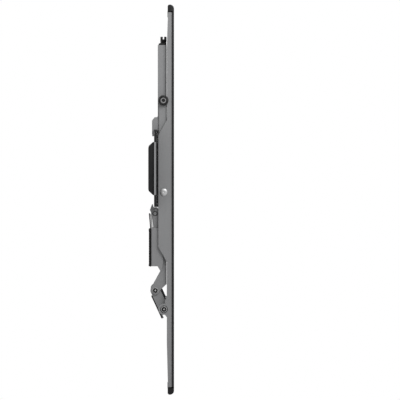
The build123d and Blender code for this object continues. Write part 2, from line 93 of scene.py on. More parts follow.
camera = bpy.data.objects.new("camera", bpy.data.cameras.new("camera"))
camera.data.sensor_width = SENSOR
camera.data.lens = SENSOR * CAMERA_DISTANCE / VIEW_WIDTH
camera.data.clip_end = FAR_CLIP
camera.location = (near_side - CAMERA_DISTANCE, mid_depth, FRAME_MIDDLE[1])
aim = Vector((near_side, *FRAME_MIDDLE)) - camera.location
camera.rotation_mode = "QUATERNION"
camera.rotation_quaternion = aim.to_track_quat("-Z", "Y")
bpy.context.scene.collection.objects.link(camera)
bpy.context.scene.camera = camera
print("lens", round(camera.data.lens), "mm")

# %% [markdown]
# ## Floor and light
# The mount hangs at chest height, so the pale floor lies well below it. The light is a studio's:
# a small key panel on the camera's side, a wide one over the top, one each from behind, from the
# right and from the front, and an even surround. The surround is white where the camera looks
# straight at it and dimmer as a light source, so that folds still get a lighter and a darker side.

# %% Build the studio
FLOOR_DEPTH = 1.2
FLOOR_REACH = 14.0
SURROUND_LIGHT = 0.46
PANELS = {  # name: place, target and size in metres, and watts
    "key_panel": ((-0.75, -0.3, 0.45), (-0.2, 0, 0), 0.4, 3.6),
    "top_panel": ((0.3, 0.4, 2.6), (0, 0, 0), 2.2, 30),
    "back_panel": ((0.8, 2.4, 1.2), (0, 0, 0), 1.5, 30),
    "right_panel": ((2.6, -1.2, 1.0), (0, 0, 0), 1.5, 28),
    "front_panel": ((0.6, -3.2, 0.8), (0, 0, 0), 1.5, 42),
}
floor_corners = np.array([(-1, -1, 0), (1, -1, 0), (1, 1, 0), (-1, 1, 0)]) * FLOOR_REACH
floor_mesh = bpy.data.meshes.new("floor")
floor_mesh.from_pydata((floor_corners - (0, 0, FLOOR_DEPTH)).tolist(), [], [(0, 1, 2, 3)])
floor = bpy.data.objects.new("floor", floor_mesh)
bpy.context.scene.collection.objects.link(floor)
floor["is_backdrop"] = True


def panel(name, place, target, size, watts):
    """Add a square soft light that looks from place to target."""
    light = bpy.data.lights.new(name, "AREA")
    light.shape = "SQUARE"
    light.size = size
    light.energy = watts
    lamp = bpy.data.objects.new(name, light)
    direction = np.array(target) - np.array(place)
    lamp.location = place
    lamp.rotation_mode = "QUATERNION"
    lamp.rotation_quaternion = Vector(direction).to_track_quat("-Z", "Y")
    lamp.visible_camera = False
    bpy.context.scene.collection.objects.link(lamp)


for name, (place, target, size, watts) in PANELS.items():
    panel(name, place, target, size, watts)

world = bpy.data.worlds.new("surround")
bpy.context.scene.world = world
world.use_nodes = True
tree = world.node_tree
tree.nodes.clear()
sky = tree.nodes.new("ShaderNodeBackground")
sky.inputs["Color"].default_value = (1, 1, 1, 1)
sky.inputs["Strength"].default_value = SURROUND_LIGHT
seen = tree.nodes.new("ShaderNodeBackground")
seen.inputs["Color"].default_value = (1, 1, 1, 1)
path = tree.nodes.new("ShaderNodeLightPath")
blend = tree.nodes.new("ShaderNodeMixShader")
out = tree.nodes.new("ShaderNodeOutputWorld")
tree.links.new(path.outputs["Is Camera Ray"], blend.inputs["Fac"])
tree.links.new(sky.outputs[0], blend.inputs[1])
tree.links.new(seen.outputs[0], blend.inputs[2])
tree.links.new(blend.outputs[0], out.inputs["Surface"])
bpy.context.scene.view_settings.view_transform = "Standard"

# %% [markdown]
# ## Shader maths as formulas
# Every finish below is a formula on the place of a surface point. One small class wraps a node's
# output, so that `1 - mask * 0.5` adds the Math nodes by itself. Colours are blended with Mix
# nodes, and every other node comes from one method that sets its choices first and its inputs next.

# %% Wrap a shader output


class Signal:
    """One output of a shader node; arithmetic on it adds Math nodes to the same tree."""

    def __init__(self, tree, output):
        self.tree = tree
        self.output = output

    def node(self, kind, settings=None, inputs=None, take=0):
        """Add any node: its settings first, then the values or links of its inputs."""
        made = self.tree.nodes.new(kind)
        for key, value in (settings or {}).items():
            setattr(made, key, value)
        for key, value in (inputs or {}).items():
            if isinstance(value, Signal):
                self.tree.links.new(value.output, made.inputs[key])
            else:
                made.inputs[key].default_value = value
        return Signal(self.tree, made.outputs[take]) if len(made.outputs) else made

    def maths(self, operation, first, second):
        return self.node("ShaderNodeMath", {"operation": operation}, {0: first, 1: second})

    def __add__(self, other):
        return self.maths("ADD", self, other)

    def __sub__(self, other):
        return self.maths("SUBTRACT", self, other)

    def __mul__(self, other):
        return self.maths("MULTIPLY", self, other)

    def __radd__(self, other):
        return self.maths("ADD", other, self)

    def __rsub__(self, other):
        return self.maths("SUBTRACT", other, self)

    def __rmul__(self, other):
        return self.maths("MULTIPLY", other, self)

    def noise(self, size, detail=2.0, rough=0.5):
        """Cloudy noise from 0 to 1, in patches about size metres wide."""
        inputs = {"Vector": self, "Scale": 1 / size, "Detail": detail, "Roughness": rough}
        return self.node("ShaderNodeTexNoise", {}, inputs)

    def cells(self, size):
        """Distance to the nearest of many scattered points that lie about size metres apart."""
        return self.node("ShaderNodeTexVoronoi", {}, {"Vector": self, "Scale": 1 / size})

    def tint(self, size):
        """A random grey for each of many cells, size metres wide."""
        inputs = {"Vector": self, "Scale": 1 / size}
        colour = self.node("ShaderNodeTexVoronoi", {}, inputs, take=1)
        return self.node("ShaderNodeSeparateColor", {}, {"Color": colour})

    def scaled(self, x, y, z):
        """The place, scaled along each axis, which turns round specks into lines."""
        return self.node("ShaderNodeVectorMath", {"operation": "MULTIPLY"}, {0: self, 1: (x, y, z)})

    def between(self, low, high):
        """0 below low, 1 above high, and a straight blend between."""
        inputs = {"Value": self, "From Min": low, "From Max": high}
        return self.node("ShaderNodeMapRange", {"clamp": True}, inputs)

    def colour(self, first, second):
        """Blend from one colour to another by this value; each is a triple or a Signal."""
        ends = [c if isinstance(c, Signal) else (*c, 1) for c in (first, second)]
        inputs = {0: self, 6: ends[0], 7: ends[1]}
        return self.node("ShaderNodeMix", {"data_type": "RGBA"}, inputs, take=2)

    def bump(self, depth):
        """Normal of a surface that stands out by this value times depth metres."""
        return self.node("ShaderNodeBump", {}, {"Height": self, "Distance": depth})

    def edges(self, radius):
        """1 on outer and inner edges, 0 elsewhere: how far a rounded normal leaves the true one."""
        eased = self.node("ShaderNodeBevel", {"samples": 4}, {"Radius": radius})
        flat = self.node("ShaderNodeNewGeometry", {}, {}, take=1)
        dot = {"operation": "DOT_PRODUCT"}
        match = self.node("ShaderNodeVectorMath", dot, {0: eased, 1: flat}, take=1)
        return (1 - match).between(0.01, 0.16)


def start(name):
    """A new material, and the place of its surface points in the mount's own frame."""
    material = bpy.data.materials.new(name)
    material.use_nodes = True
    material.node_tree.nodes.clear()
    place = material.node_tree.nodes.new("ShaderNodeTexCoord")
    return material, Signal(material.node_tree, place.outputs["Object"])


def close(material, place, **inputs):
    """End a material with the surface shader; its inputs are named with _ for a space."""
    named = {key.replace("_", " "): value for key, value in inputs.items()}
    surface = place.node("ShaderNodeBsdfPrincipled", {}, named)
    place.node("ShaderNodeOutputMaterial", {}, {"Surface": surface})
    print("finish", material.name, "has", len(material.node_tree.nodes), "nodes")
    return material


finishes = {}

# %% [markdown]
# ## Powder coat
# The folded steel is powder coated. The powder melts into a skin with a fine orange peel, and its
# shade drifts a little over a long piece. Its cut edges get a painted highlight in patches: a
# lighter colour, with a little less roughness. An image of scratches would repeat; noise in three
# sizes never does, and the edge mask follows every fold by itself.

# %% Grey and black powder coat


def powder_coat(name, dark, light, edge_highlight_colour, shine):
    """Shade = slow cloud + fine speckle + painted highlight in patches on edges; relief = pimples +
    speckle.
    """
    material, place = start(name)
    cloud = place.noise(34 * MM, 3)
    smudge = place.scaled(1, 1, 0.3).noise(7 * MM, 4, 0.6)
    speckle = place.noise(0.35 * MM, 3, 0.7)
    peel = place.cells(0.75 * MM)
    edge = place.edges(0.45 * MM)
    # This mask paints a highlight: edges turn lighter in patches, and their roughness drops a
    # little.
    edge_highlight_patches = edge * place.noise(2.2 * MM, 4, 0.65).between(0.36, 0.62)
    shade = (cloud * 0.5 + smudge * 0.28 + speckle * 0.3).colour(dark, light)
    return close(
        material, place,
        Base_Color=edge_highlight_patches.colour(shade, edge_highlight_colour),
        Roughness=0.4 + smudge * 0.16 + speckle * 0.12 - edge_highlight_patches * 0.14,
        Specular_IOR_Level=shine,
        Normal=(peel * 0.6 + speckle * 0.4).bump(0.06 * MM),
    )


finishes["grey_paint"] = powder_coat(
    "grey_powder", dark=(0.212, 0.214, 0.218), light=(0.276, 0.278, 0.282),
    edge_highlight_colour=(0.4, 0.4, 0.4), shine=0.4)
finishes["black_paint"] = powder_coat(
    "black_powder", dark=(0.007, 0.007, 0.007), light=(0.018, 0.018, 0.0185),
    edge_highlight_colour=(0.06, 0.06, 0.061), shine=0.28)

# %% [markdown]
# ## Moulded black parts
# Caps, guards and bumpers are injection moulded with a fine eroded grain, and the wall pads are
# soft rubber. Both are nearly black, so what tells them apart is the gloss: plastic keeps a broken,
# low sheen, while rubber has none and gathers pale dust.

# %% Plastic and rubber
DUST = (0.16, 0.158, 0.15)


def moulded(name, dark, light, rough, grain, dust, shine):
    """Shade = cloud + grain + painted highlight on edges, under dust; relief = grain; gloss = cloud
    + grain.
    """
    material, place = start(name)
    cloud = place.noise(16 * MM, 3)
    pits = place.cells(grain)
    fine = place.noise(grain * 0.6, 4, 0.7)
    film = place.scaled(1, 1, 0.6).noise(4 * MM, 5, 0.7).between(0.5, 0.9) * dust
    edge = place.edges(0.4 * MM)
    # Edges are painted lighter here: a painted highlight.
    shade = (cloud * 0.5 + fine * 0.5 + edge * 0.35).colour(dark, light)
    return close(
        material, place,
        Base_Color=film.colour(shade, DUST),
        Roughness=rough + cloud * 0.14 + fine * 0.1 - edge * 0.08,
        Specular_IOR_Level=shine,
        Normal=(pits * 0.5 + fine * 0.5).bump(0.05 * MM),
    )


finishes["black_plastic"] = moulded(
    "black_mould", dark=(0.004, 0.004, 0.0043), light=(0.016, 0.016, 0.0165),
    rough=0.36, grain=0.4 * MM, dust=0.04, shine=0.28)
finishes["rubber"] = moulded(
    "pad_rubber", dark=(0.003, 0.003, 0.003), light=(0.01, 0.0098, 0.0094),
    rough=0.68, grain=0.9 * MM, dust=0.1, shine=0.15)

# %% [markdown]
# ## Plated and blackened metal
# Pins and rivets are zinc plated: bright, with faint blotches where the plating crystals meet. The
# bolts are blackened with oil, which dries unevenly, and every plated part has a painted highlight,
# a lighter colour on its edges and corners. The catch springs are cold rolled strip, with fine
# lines along the rolling. The tilt bolt's core has a duller zinc, and the nylon washers are moulded
# like the black parts.

# %% Zinc, black oxide, spring strip and nylon
EVENLY = (1, 1, 1)
UPRIGHT_LINES = (1, 1, 0.05)


def plated(name, dark, light, rough, grain, lines, shine):
    """Shade = crystals + speckle + rolled lines + painted highlight on edges; dull blotches lower
    the metal's shine.
    """
    material, place = start(name)
    crystal = place.tint(grain)
    speckle = place.noise(0.3 * MM, 4, 0.7)
    rolled = place.scaled(*lines).noise(0.5 * MM, 3, 0.6)
    dull = place.noise(5 * MM, 4, 0.6).between(0.35, 0.75)
    edge = place.edges(0.3 * MM)
    # Edges are painted lighter here: a painted highlight.
    shade = (crystal * 0.35 + speckle * 0.3 + rolled * 0.35 + edge * 0.3).colour(dark, light)
    return close(
        material, place,
        Base_Color=shade,
        Metallic=shine - dull * 0.25,
        Roughness=rough + dull * 0.16 + speckle * 0.1,
        Normal=(rolled * 0.5 + speckle * 0.5).bump(0.02 * MM),
    )


finishes["zinc"] = plated(
    "zinc_plate", dark=(0.44, 0.445, 0.45), light=(0.76, 0.76, 0.76),
    rough=0.38, grain=1.1 * MM, lines=EVENLY, shine=0.75)
finishes["black_steel"] = plated(
    "black_oxide", dark=(0.003, 0.003, 0.0032), light=(0.014, 0.014, 0.0145),
    rough=0.34, grain=0.8 * MM, lines=EVENLY, shine=0.35)
finishes["spring_steel"] = plated(
    "rolled_strip", dark=(0.7, 0.7, 0.7), light=(0.95, 0.95, 0.94),
    rough=0.3, grain=2 * MM, lines=UPRIGHT_LINES, shine=0.55)
finishes["dull_zinc"] = plated(
    "dull_zinc", dark=(0.2, 0.2, 0.205), light=(0.4, 0.4, 0.4),
    rough=0.34, grain=0.9 * MM, lines=EVENLY, shine=0.55)
finishes["nylon"] = moulded(
    "nylon", dark=(0.6, 0.6, 0.57), light=(0.74, 0.74, 0.71),
    rough=0.4, grain=0.5 * MM, dust=0.03, shine=0.5)
print("finishes", sorted(finishes))

# %% [markdown]
# ## Finishes on the CAD parts
# Every CAD part names the slot that it is finished with, so one loop paints them all. A part that
# is rebuilt further down is hidden there.

# %% Paint the CAD parts
slot_of = {part["node"]: part["material_slot"] for part in frame["record"]["subparts"]}
bodies = frame["record"]["behaviour"]["bodies"]
body_of = {node: body for body, nodes in bodies.items() for node in nodes}
for name, cad in frame["nodes"].items():
    cad.data.materials.clear()
    cad.data.materials.append(finishes[slot_of[name]])
print("painted", len(slot_of), "CAD parts")

# %% [markdown]
# ## Making a piece
# A piece is one or more skins of rings: a grid of points whose rows are closed loops. Faces join
# each row to the next. Points that fall together at a pole are merged, the faces are turned
# outwards, and edges sharper than a set angle stay crisp while the rest is smooth.

# %% From rings to a riding piece
MERGE = 1e-7
CRISP_ANGLE = 40


def skin(rings, closed=False):
    """Points and faces of a grid of rings; closed joins the last ring to the first (a washer)."""
    rows, columns = rings.shape[:2]
    index = np.arange(rows * columns).reshape(rows, columns)
    after = np.roll(index, -1, axis=1)
    if closed:
        index = np.vstack([index, index[:1]])
        after = np.vstack([after, after[:1]])
    faces = np.stack([index[:-1], after[:-1], after[1:], index[1:]], -1).reshape(-1, 4).tolist()
    if not closed:
        faces += [index[0][::-1].tolist(), index[-1].tolist()]
    return rings.reshape(-1, 3), faces


def finish_piece(name, form, body, slot, replaced=(), sharp=CRISP_ANGLE, look=None):
    """Turn a finished bmesh into an object that rides on a body."""
    bmesh.ops.recalc_face_normals(form, faces=form.faces)
    mesh = bpy.data.meshes.new(name)
    form.to_mesh(mesh)
    form.free()
    mesh.shade_smooth()
    mesh.set_sharp_from_angle(angle=math.radians(sharp))
    mesh.materials.append(finishes[look or slot])
    made = bpy.data.objects.new(name, mesh)
    bpy.context.scene.collection.objects.link(made)
    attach(made, body)
    if replaced:
        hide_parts(*replaced)
    return made


def piece(name, skins, like, slot=None, replaced=None, look=None):
    """Piece of several skins that rides where the CAD part `like` rides and stands for it."""
    form = bmesh.new()
    for points, faces in skins:
        mesh = bpy.data.meshes.new("part_skin")
        mesh.from_pydata(points.tolist(), [], faces)
        form.from_mesh(mesh)
        bpy.data.meshes.remove(mesh)
    bmesh.ops.remove_doubles(form, verts=form.verts, dist=MERGE)
    stands_for = (like,) if replaced is None else replaced
    return finish_piece(name, form, body_of[like], slot or slot_of[like], stands_for, look=look)


# %% [markdown]
# ## Shapes as formulas
# Nearly every small part is one of two shapes: a profile turned about an axis, or an outline
# carried straight with its end edges rounded off. Both give rings in local (along, first, second)
# coordinates, and three short functions lay those in the mount.

# %% Turned and carried shapes


def turned(profile, sides=40, factor=None):
    """Point = (along, radius cos turn, radius sin turn), for each (along, radius) of a profile."""
    along, radius = np.array(profile, float).T[:, :, None] * MM
    turn = np.linspace(0, 2 * np.pi, sides, endpoint=False)[None, :]
    if factor is not None:
        radius = radius * factor(along / MM, turn)
    flat = np.zeros_like(turn)
    return np.stack([along + flat, radius * np.cos(turn), radius * np.sin(turn)], -1)


def disc(radius, low, high, rim, steps=5):
    """Profile of a disc from its low middle to its high middle, with quarter-round rims."""
    bend = np.linspace(0, np.pi / 2, steps)
    near = np.stack([low + rim * (1 - np.cos(bend)), radius - rim * (1 - np.sin(bend))], 1)
    far = np.stack([high - rim * (1 - np.cos(bend)), radius - rim * (1 - np.sin(bend))], 1)[::-1]
    return np.vstack([[(low, 0)], near, far, [(high, 0)]])


def fillets(corners, radius, steps=5):
    """Closed outline whose corners are arcs: centre = corner + bisector * r / sin(half angle)."""
    corners = np.array(corners, float)
    radius = np.broadcast_to(radius, len(corners))[:, None].astype(float)
    back = np.roll(corners, 1, axis=0) - corners
    ahead = np.roll(corners, -1, axis=0) - corners
    back /= np.linalg.norm(back, axis=1, keepdims=True)
    ahead /= np.linalg.norm(ahead, axis=1, keepdims=True)
    half = np.arccos(np.clip((back * ahead).sum(1, keepdims=True), -1, 1)) / 2
    bisector = (back + ahead) / np.linalg.norm(back + ahead, axis=1, keepdims=True)
    centre = corners + bisector * radius / np.sin(half)
    first = corners + back * radius / np.tan(half) - centre
    last = corners + ahead * radius / np.tan(half) - centre
    span = np.pi - 2 * half
    share = np.linspace(0, 1, steps)[None, :, None]
    span, first, last = span[:, :, None], first[:, None, :], last[:, None, :]
    arc = (np.sin((1 - share) * span) * first + np.sin(share * span) * last) / np.sin(span)
    return (centre[:, None, :] + arc).reshape(-1, 2)


def carried(outline, low, high, rim, steps=4):
    """Outline carried from low to high; its ends shrink by rim (1 - sin a) over rim (1 - cos a)."""
    outline = np.array(outline, float)
    run = np.roll(outline, -1, axis=0) - np.roll(outline, 1, axis=0)
    inward = np.stack([-run[:, 1], run[:, 0]], 1) / np.linalg.norm(run, axis=1, keepdims=True)
    x, y = outline.T
    area = (x * np.roll(y, -1) - y * np.roll(x, -1)).sum()
    inward *= np.sign(area)
    bend = np.linspace(0, np.pi / 2, steps)
    shrink, advance = rim * (1 - np.sin(bend)), rim * (1 - np.cos(bend))
    inset = np.concatenate([shrink, shrink[::-1]])
    along = np.concatenate([low + advance, high - advance[::-1]])
    rings = outline[None] + inward[None] * inset[:, None, None]
    along = np.broadcast_to(along[:, None, None], (*rings.shape[:2], 1))
    return np.concatenate([along, rings], -1) * MM


def across(rings, x=0, depth=0, height=0):
    """Lay local rings with their axis across the width; first is depth and second is height."""
    along, first, second = np.moveaxis(rings, -1, 0)
    return np.stack([x * MM + along, -(depth * MM + first), height * MM + second], -1)


def upright(rings, x=0, depth=0, height=0):
    """Lay local rings with their axis upright."""
    along, first, second = np.moveaxis(rings, -1, 0)
    return np.stack([x * MM + first, -depth * MM + second, height * MM + along], -1)


def facing(rings, x=0, depth=0, height=0):
    """Lay local rings with their axis out of the wall, towards the room."""
    along, first, second = np.moveaxis(rings, -1, 0)
    return np.stack([x * MM + first, -(depth * MM + along), height * MM + second], -1)


def mirrored(profile):
    """The same profile on the other side: along changes sign."""
    return np.array(profile, float) * (-1, 1)


print("a disc of radius 4 has the profile", disc(4, 0, 2, 0.5, 3).round(2).tolist())

# %% [markdown]
# ## Folded steel
# The CAD parts are exact, but their cut edges are knife sharp, and no coated edge is. A copy of
# each folded part has its loose triangles merged into real faces, and a Bevel modifier rounds the
# edges by the thickness of the coat, so that they catch a line of light. Modelling each fold again
# as a surface would only risk leaving the measured shape.

# %% Ease the edges of the folded parts
JOIN = 2e-6
FLAT_ANGLE = 0.8
SMOOTH_ANGLE = 30
FOLD_ANGLE = 32
ARM_PARTS = ("wall_plate", "wall_bracket", "arm_tie", "head_rail_top", "head_rail_bottom",
             "end_plates", "doubler_plates", "inner_arm", "outer_arm_upper", "outer_arm_lower")
FOLDED = ("hanger_rail", "hook", "lower_housing", "lower_arm", "latch_bracket", "latch_lever",
          "tilt_arm", "strip", "lower_link")
COATED = {"strip_liner": 0.3 * MM, "channel_cap": 0.4 * MM}


def eased(node, width):
    """Copy of a CAD part, merged into flat faces, with edges rounded by width."""
    form = bmesh.new()
    form.from_mesh(frame["nodes"][node].data)
    bmesh.ops.remove_doubles(form, verts=form.verts, dist=JOIN)
    flat = math.radians(FLAT_ANGLE)
    bmesh.ops.dissolve_limit(form, angle_limit=flat, verts=form.verts, edges=form.edges)
    made = finish_piece(node + "_eased", form, body_of[node], slot_of[node], (node,),
                        sharp=SMOOTH_ANGLE)
    ease = made.modifiers.new("ease", "BEVEL")
    ease.width = width
    ease.segments = 2
    ease.limit_method = "ANGLE"
    ease.angle_limit = math.radians(FOLD_ANGLE)
    ease.use_clamp_overlap = True
    level = made.modifiers.new("level", "WEIGHTED_NORMAL")
    level.weight = 100
    level.keep_sharp = True


for node in ARM_PARTS:
    eased(node, 0.3 * MM)
for hand in HANDS:
    for part in FOLDED:
        eased(f"{hand}_{part}", 0.25 * MM)
    for part, width in COATED.items():
        eased(f"{hand}_{part}", width)
print("eased", len(ARM_PARTS) + (len(FOLDED) + len(COATED)) * len(HANDS), "parts")

# %% [markdown]
# ## Hinge pins and washers
# The arms turn on solid pins whose ends are peened into low heads, with nylon washers between the
# bars. They are bodies of revolution, so each is one turned profile. A shallow dimple in each head
# is the mark of the peening tool.

# %% Turn the pins and washers
WALL_PIVOT_X = -100.0
ELBOW_X = 150.0
HEAD_X = 0.0
ARM_DEPTH = 12.5
PIN = 4.0


def headed_pin(half, head_radius, head_high):
    """Profile of a pin from its low head to its high head, with a dimple in both."""
    face = half + head_high
    crown = disc(head_radius, half, face, 0.9)[1:-1]
    dimple = [(face, 1.6), (face - 0.5, 0.9), (face - 0.6, 0)]
    top = np.vstack([[(half, PIN)], crown, dimple])
    return np.vstack([mirrored(top)[::-1], top])


def washer(outer, inner, low, high):
    """Closed ring skin of a flat washer with softened rims."""
    loop = fillets([(low, inner), (high, inner), (high, outer), (low, outer)], 0.18, 3)
    return turned(loop, 48)


PINS = {  # node: x, and its profiles
    "wall_pivot_pin": (WALL_PIVOT_X, [headed_pin(half=13, head_radius=6, head_high=2.5)]),
    "elbow_pin": (ELBOW_X, [headed_pin(half=21.2, head_radius=6.5, head_high=2.8)]),
    "head_pins": (HEAD_X, [disc(PIN, 10.2, 29.5, 0.4), disc(PIN, -29.5, -10.2, 0.4)]),
}
for node, (x, profiles) in PINS.items():
    pins = [skin(upright(turned(profile), x, ARM_DEPTH)) for profile in profiles]
    piece(node + "_turned", pins, node)

WASHERS = {  # node: x, outer radius, inner radius, and the heights that each washer spans
    "wall_washers": (WALL_PIVOT_X, 7, PIN + 0.02, ((9.05, 10), (-10, -9.05))),
    "elbow_washers": (ELBOW_X, 7, PIN + 0.02, ((9, 9.95), (-9.95, -9))),
    "head_washers": (HEAD_X, 7.5, PIN + 0.05, ((21, 21.95), (-21.95, -21))),
}
for node, (x, outer, inner, spans) in WASHERS.items():
    rings = [upright(washer(outer, inner, *span), x, ARM_DEPTH) for span in spans]
    piece(node + "_turned", [skin(ring, closed=True) for ring in rings], node)
print("pins and washers:", len(PINS) + len(WASHERS), "pieces")

# %% [markdown]
# ## Screws in the arm's tie plate
# The tie plate is held on the two outer bars by four button head screws with hexagon sockets. The
# socket is a turned profile too: its rings are pulled to a hexagon by dividing the radius by the
# cosine of the angle to the nearest flat.

# %% Button head screws
SCREW_X = 15
SCREW_HEIGHT = 15.5


def hexagon(along, turn):
    """Factor that makes a ring a hexagon: 1 / cos(angle to the middle of the nearest flat)."""
    return 1 / np.cos(np.mod(turn, np.pi / 3) - np.pi / 6)


def button_screw(radius, high, socket, shank, reach):
    """Rings of a screw: shank, a dome that is part of an ellipse, then a hexagon socket."""
    bend = np.linspace(0, np.pi / 2 * 0.78, 7)
    rise = high * np.sin(bend) / np.sin(bend[-1])
    fall = (radius - socket * 1.3) * (1 - np.cos(bend)) / (1 - np.cos(bend[-1]))
    dome = np.stack([rise, radius - fall], 1)
    outside = np.vstack([[(-reach, 0), (-reach, shank), (0, shank)], dome])
    floor_at = high - 1.0
    inside = [(high, socket * 1.05), (high - 0.15, socket), (floor_at, socket), (floor_at, 0)]
    return np.concatenate([turned(outside, 36), turned(inside, 36, hexagon)])


tie_low, tie_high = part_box("arm_tie")
TIE_MIDDLE = (tie_low.x + tie_high.x) / 2 / MM
TIE_FRONT = -tie_low.y / MM
screw = button_screw(radius=3.0, high=1.6, socket=1.1, shank=1.5, reach=3.5)
screws = [skin(facing(screw, TIE_MIDDLE + x, TIE_FRONT, z))
          for x in (-SCREW_X, SCREW_X) for z in (-SCREW_HEIGHT, SCREW_HEIGHT)]
piece("tie_screws", screws, "arm_tie", slot="black_steel", replaced=())
print("tie plate front at depth", round(TIE_FRONT, 2), "mm, screws:", len(screws))

# %% [markdown]
# ## Bumpers
# The crossbar ends in two black bumpers with sloped shoulders that meet the wall. A cube with a
# Bevel modifier would round every corner alike. Here each is an outline with a radius of its own at
# every corner, carried across the width with its end edges rounded.

# %% Mould the bumpers
bumper_low, bumper_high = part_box("end_bumpers")
BUMPER_LENGTH = 51.0
BUMPER_BACK = -bumper_high.y / MM
BUMPER_FRONT = -bumper_low.y / MM
BUMPER_HALF = bumper_high.z / MM
SHOULDER = BUMPER_HALF - 4.7
SHOULDER_DEPTH = BUMPER_BACK + 5
bumper_outline = fillets(
    [(BUMPER_BACK, -SHOULDER), (SHOULDER_DEPTH, -BUMPER_HALF), (BUMPER_FRONT, -BUMPER_HALF),
     (BUMPER_FRONT, BUMPER_HALF), (SHOULDER_DEPTH, BUMPER_HALF), (BUMPER_BACK, SHOULDER)],
    (3, 1.2, 0.3, 0.3, 1.2, 3), 7)
bumper_ends = ((bumper_low.x / MM, bumper_low.x / MM + BUMPER_LENGTH),
               (bumper_high.x / MM - BUMPER_LENGTH, bumper_high.x / MM))
bumpers = [skin(across(carried(bumper_outline, *ends, rim=1.2, steps=6))) for ends in bumper_ends]
piece("end_bumpers_moulded", bumpers, "end_bumpers")

# %% [markdown]
# ## End caps
# Each upright is closed at both ends with a moulded cap: a shell whose front corner is rounded to
# the liner, and a tongue that plugs into the steel. Both are outlines seen from the side, carried
# across the width like the bumpers, because the front corner needs a much larger radius.

# %% Mould the caps of the uprights
TONGUE_BACK = 22.7
TONGUE_FRONT = 26.4
TONGUE_HALF = 13.2
TONGUE_REACH = 4.4
for hand in HANDS:
    low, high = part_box(f"{hand}_strip_caps")
    steel_low, steel_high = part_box(f"{hand}_strip")
    middle = (low.x + high.x) / 2 / MM
    half = (high.x - low.x) / 2 / MM
    back, front = -high.y / MM, -low.y / MM
    caps = []
    for end, seam, up in ((high.z / MM, steel_high.z / MM, 1), (low.z / MM, steel_low.z / MM, -1)):
        shell_corners = [(back, seam), (front, seam), (front, end), (back, end)]
        shell = fillets(shell_corners, (0.3, 0.3, 4.6, 2.2), 9)
        foot, root = seam - up * TONGUE_REACH, seam + up
        tongue = fillets([(TONGUE_BACK, foot), (TONGUE_FRONT, foot),
                          (TONGUE_FRONT, root), (TONGUE_BACK, root)], 0.3, 3)
        caps.append(skin(across(carried(shell, -half, half, 1.1, 6), middle)))
        caps.append(skin(across(carried(tongue, -TONGUE_HALF, TONGUE_HALF, 0.3, 3), middle)))
    piece(f"{hand}_strip_caps_moulded", caps, f"{hand}_strip_caps")
    print(hand, "caps from depth", round(back, 2), "to", round(front, 2), "mm")

# %% [markdown]
# ## Tilt bolts
# The linkage of each upright turns on four pivots. The top one is the tilt bolt, with a thick black
# head ring round a plated core that has a dark hexagon socket. Ring and core are separate pieces,
# because their finishes differ. Every ring is a small closed loop, turned about the pivot.

# %% Turn the tilt bolts
TILT_TOP = (17.1, 76.7)  # each pivot's depth and height
TILT_MID = (17.7, -26.5)
LINK_PIVOT = (8.0, -137.2)
EAR_PIVOT = (17.8, -158.4)
CATCH_PIVOT = (7.65, -50.6)
UPRIGHT_X = {"left": -200.0, "right": 200.0}
# outer radius, inner radius, foot, face and rim of the head, its flange and its spacer; the black
# flange is wider than the head, and also stands in for the head's shadow: a painted shadow
TILT_RINGS = ((5.15, 3.32, 15.9, 18.0, 0.8), (5.8, 3.05, 15.3, 15.9, 0.2),
              (3.8, 3.02, 12.3, 15.3, 0.2))
SOCKET_PLUG = [(16.02, 0), (16.02, 1.86), (16.14, 1.84), (16.14, 0)]


def both_sides(profile):
    """The profile and its mirror image, as the two ends of a bolt."""
    return profile, mirrored(profile)


def ring_loop(outer, inner, low, high, rim):
    """Closed profile of a head ring: square at its foot and rounded on its outer face."""
    corners = [(low, inner), (high, inner), (high, outer), (low, outer)]
    return fillets(corners, (0.1, 0.35, rim, 0.2), 6)


def socket_core(length, radius, socket):
    """Rings of a core from the middle of a bolt to its end, with a hexagon socket in it."""
    solid = [(0, 0), (0, 3), (15.3, 3), (15.3, radius), (length - 0.3, radius),
             (length, radius - 0.3)]
    floor_at = length - 1.1
    rim = [(length, socket * 1.12), (length - 0.2, socket), (floor_at, socket), (floor_at, 0)]
    return np.concatenate([turned(solid, 48), turned(rim, 48, hexagon)])


def on_pivot(hand, pivot, profiles, sides, closed=False, factor=None):
    """Skins of profiles that are turned about a pivot's axis, across the width."""
    return [skin(across(turned(profile, sides, factor), UPRIGHT_X[hand], *pivot), closed=closed)
            for profile in profiles]


tilt_loops = [loop for ring in TILT_RINGS for loop in both_sides(ring_loop(*ring))]
core = socket_core(length=17.2, radius=3.3, socket=1.9)
for hand in HANDS:
    heads = on_pivot(hand, TILT_TOP, tilt_loops, 48, closed=True)
    heads += on_pivot(hand, TILT_TOP, both_sides(SOCKET_PLUG), 48, factor=hexagon)
    piece(f"{hand}_tilt_bolt_heads", heads, f"{hand}_tilt_bolt")
    ends = [skin(across(end, UPRIGHT_X[hand], *TILT_TOP)) for end in (core, core * (-1, 1, 1))]
    piece(f"{hand}_tilt_bolt_core", ends, f"{hand}_tilt_bolt", slot="zinc", look="dull_zinc")
print("tilt bolts with", len(tilt_loops), "rings each")

# %% [markdown]
# ## Pivot rivets
# The middle pivot is a large bright rivet with a low domed head and a spacer disc on its shank. A
# half sphere would stand too proud, so the crown of the turned profile is a quarter of an ellipse.

